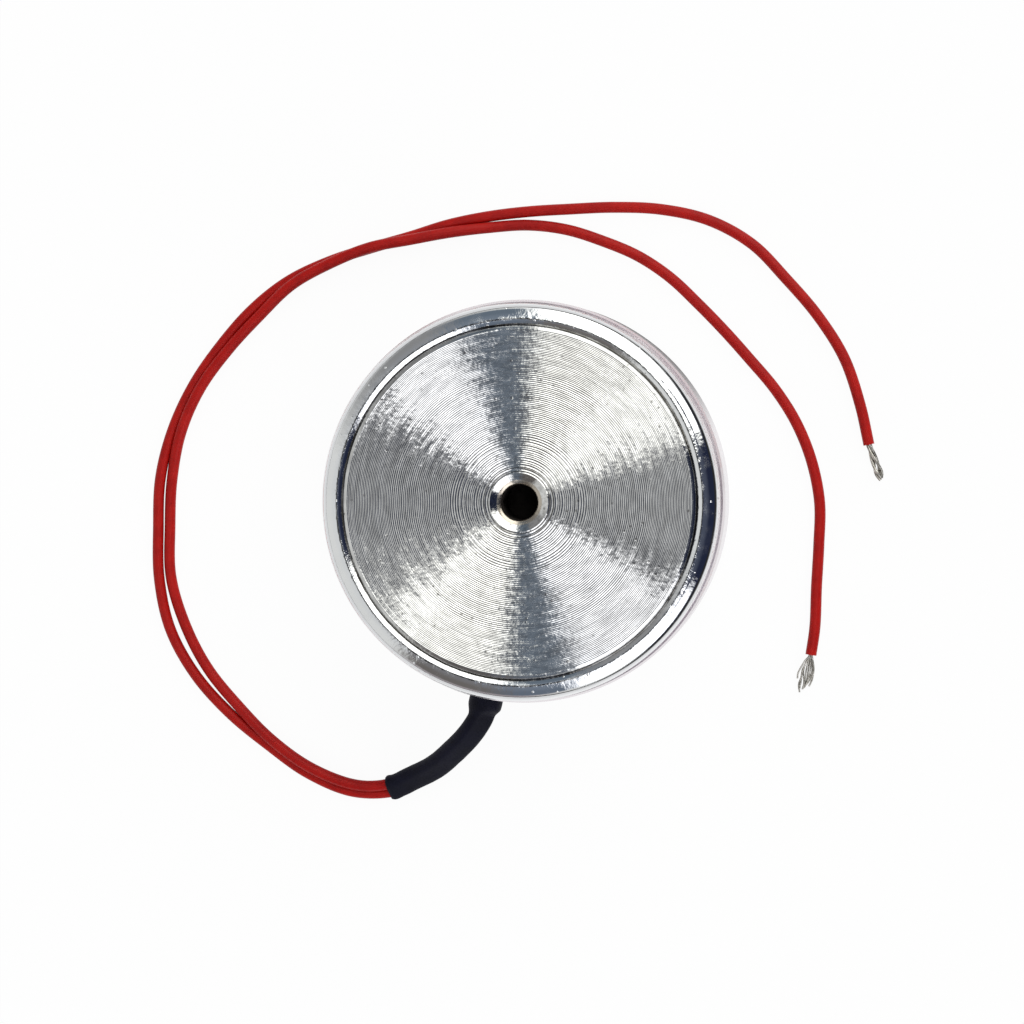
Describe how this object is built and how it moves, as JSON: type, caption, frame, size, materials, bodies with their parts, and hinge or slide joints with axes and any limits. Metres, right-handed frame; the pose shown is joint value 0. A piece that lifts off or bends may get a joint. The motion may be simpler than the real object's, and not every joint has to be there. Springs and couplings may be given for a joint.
{
  "type": "holding electromagnet",
  "caption": "Round flat holding electromagnet: steel pot with a turned rear face and threaded mounting hole, potted pole face, and two loose red leads in a black sleeve.",
  "frame": {"origin": "middle of the pole face, which lies on the table", "axes": "+Z along the magnet's axis from the pole face to the rear mounting face; the cable leaves near -Y"},
  "size_m": [0.0924, 0.0755, 0.021],
  "materials": {
    "plated_shell": "bright plated and polished",
    "turned_steel": "plated over fine turning marks",
    "bobbin_plastic": "moulded",
    "winding": "enamelled copper wire",
    "tape": "polyester tape",
    "resin": "cast black resin",
    "tinned_metal": "tinned copper",
    "sleeve": "satin black shrink tube",
    "lead_insulation": "satin red insulation"
  },
  "bodies": {
    "root": {"shell": "plated_shell", "core_base": "turned_steel", "bobbin": "bobbin_plastic", "coil": "winding", "coil_tape": "tape", "potting": "resin", "solder_joint_1": "tinned_metal", "solder_joint_2": "tinned_metal", "lead_sleeve": "sleeve", "lead_1": "lead_insulation", "lead_2": "lead_insulation", "lead_1_strands": "tinned_metal", "lead_2_strands": "tinned_metal"}
  },
  "joints": []
}
